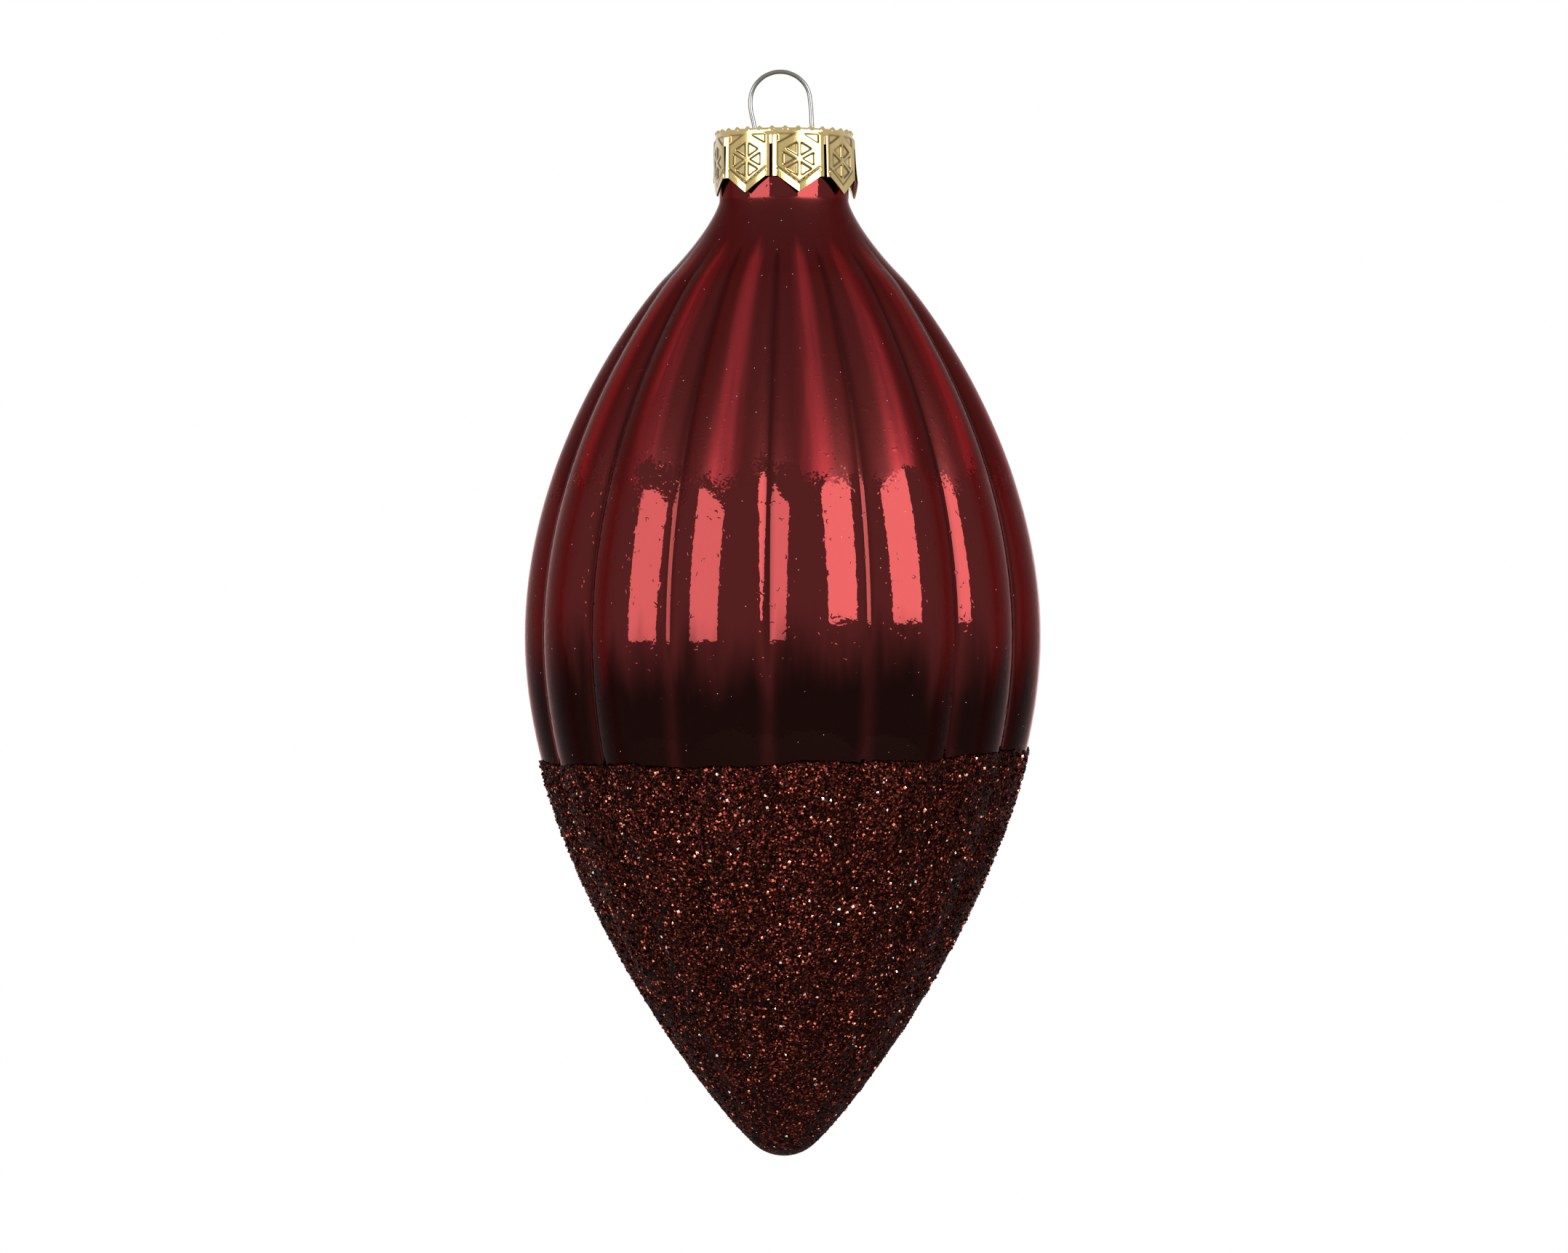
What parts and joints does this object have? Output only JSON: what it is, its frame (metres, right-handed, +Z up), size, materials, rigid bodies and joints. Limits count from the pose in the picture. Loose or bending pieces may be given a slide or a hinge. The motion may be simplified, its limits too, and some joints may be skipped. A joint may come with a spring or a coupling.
{
  "type": "glass bauble",
  "caption": "Blown glass bauble, a fluted olive tapering to a point, with a glitter-coated lower half, a stamped crown cap and a spring wire hanger.",
  "frame": {"origin": "the hanging eye: inside the top of the wire loop, on the bulb's axis", "axes": "+Z up along the bulb's axis, from the tip to the loop; the wire loop lies in the XZ plane; -Y is the front"},
  "size_m": [0.0698, 0.0698, 0.1468],
  "materials": {
    "lacquered_glass": "clear burgundy lacquer over a silvered inside, mirror gloss",
    "glitter": "fine copper-red glitter in clear adhesive",
    "gilt_cap": "pale gold plating, bright, stamped",
    "spring_wire": "bright drawn spring wire"
  },
  "bodies": {
    "hanger": {"hanger_wire": "spring_wire"},
    "cap": {"crown_cap": "gilt_cap"},
    "bulb": {"glass_bulb": "lacquered_glass", "glitter_coat": "glitter"}
  },
  "joints": [
    {"name": "bulb_pull", "type": "slide", "parent": "hanger", "child": "bulb", "axis": [0, 0, -1], "range_m": [0, 0.032]},
    {"name": "cap_lift", "type": "slide", "parent": "hanger", "child": "cap", "axis": [0, 0, 1], "range_m": [0, 0.002]}
  ]
}
